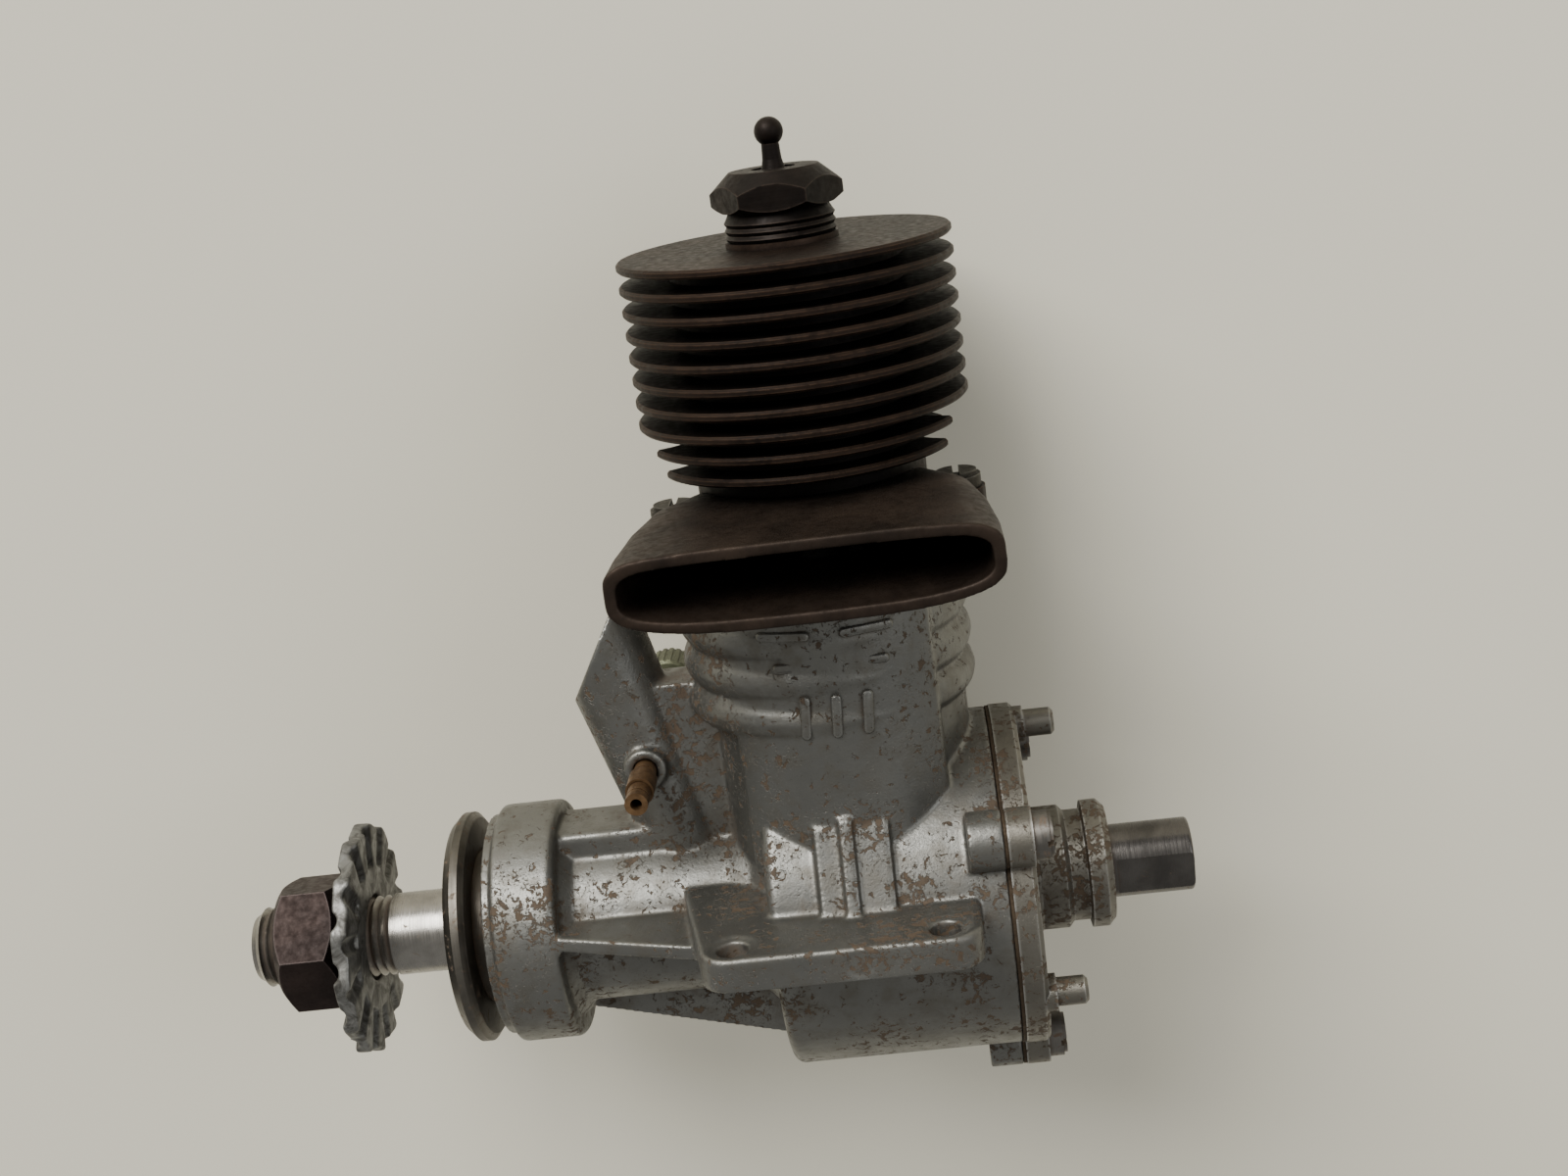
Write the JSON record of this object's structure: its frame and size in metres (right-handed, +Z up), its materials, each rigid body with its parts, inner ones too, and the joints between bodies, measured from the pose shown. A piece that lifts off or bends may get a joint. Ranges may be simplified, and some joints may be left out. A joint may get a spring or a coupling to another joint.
{
  "type": "model glow engine",
  "caption": "Two-stroke model aircraft engine with finned steel cylinder, cast crankcase with beam-mount lugs, side exhaust stack, front intake tube and a rear drive shaft.",
  "frame": {"origin": "where the crankshaft's axis meets the cylinder's axis", "axes": "+Z up the cylinder, +X along the crankshaft towards the rear cover, exhaust stack towards -Y"},
  "size_m": [0.1115, 0.0585, 0.1137],
  "materials": {
    "cast_aluminium": "die-cast, dull, brown pitting and stains",
    "cover_aluminium": "die-cast, brown stained edge",
    "bronze": "reamed",
    "burnt_steel": "turned steel, burnt dark brown",
    "stack_steel": "sheet steel, brown oxide",
    "gasket": "oil-soaked fibre",
    "dirty_screws": "oily and caked",
    "screw_steel": "worn steel",
    "plug_steel": "burnt dark brown",
    "copper": "tarnished copper",
    "plug_insulator": "baked seal",
    "brass": "tarnished brass",
    "knob_brass": "dull plated brass, greenish",
    "shaft_steel": "ground steel",
    "disc_steel": "turned steel, dull",
    "nut_steel": "plum-brown patina",
    "washer_steel": "mottled grey zinc",
    "rear_shaft_steel": "hardened dark steel",
    "piston_metal": "machined",
    "ring_iron": "ground iron",
    "rod_bronze": "forged alloy"
  },
  "bodies": {
    "engine": {"crankcase": "cast_aluminium", "rear_cover": "cover_aluminium", "front_bushing": "bronze", "main_bushing": "bronze", "rear_bushing": "bronze", "cylinder": "burnt_steel", "exhaust_stack": "stack_steel", "base_gasket": "gasket", "cover_gasket": "gasket", "cylinder_screws": "dirty_screws", "cover_screws": "screw_steel", "plug_body": "plug_steel", "plug_gasket": "copper", "plug_insulator": "plug_insulator", "plug_terminal": "plug_steel", "glow_coil": "screw_steel", "spray_bar": "brass", "spray_bar_nut": "brass"},
    "crank": {"crankshaft": "shaft_steel", "prop_drive_disc": "disc_steel", "prop_nut": "nut_steel"},
    "washer": {"prop_washer": "washer_steel"},
    "rear_drive": {"rear_shaft": "rear_shaft_steel", "rear_drive_arm": "shaft_steel"},
    "piston": {"piston": "piston_metal", "piston_rings": "ring_iron", "wrist_pin": "shaft_steel", "wrist_pin_pads": "brass", "connecting_rod": "rod_bronze", "crankpin": "shaft_steel"},
    "needle_valve": {"needle": "screw_steel", "needle_knob": "knob_brass"}
  },
  "joints": [
    {"name": "crank_spin", "type": "hinge", "parent": "engine", "child": "crank", "pos_m": [0, 0, 0], "axis": [1, 0, 0], "continuous": true},
    {"name": "rear_shaft_spin", "type": "hinge", "parent": "engine", "child": "rear_drive", "pos_m": [0, 0, 0], "axis": [1, 0, 0], "continuous": true},
    {"name": "prop_washer_slide", "type": "slide", "parent": "crank", "child": "washer", "axis": [1, 0, 0], "range_m": [0, 0.01]},
    {"name": "piston_slide", "type": "slide", "parent": "engine", "child": "piston", "axis": [0, 0, 1], "range_m": [-0.0241, 0]},
    {"name": "needle_turn", "type": "hinge", "parent": "engine", "child": "needle_valve", "pos_m": [-0.0228, 0.02, 0.0196], "axis": [0, 1, 0], "range_deg": [-540, 1080]}
  ],
  "couplings": [
    {"joint": "rear_shaft_spin", "follows": "crank_spin", "ratio": 1}
  ]
}
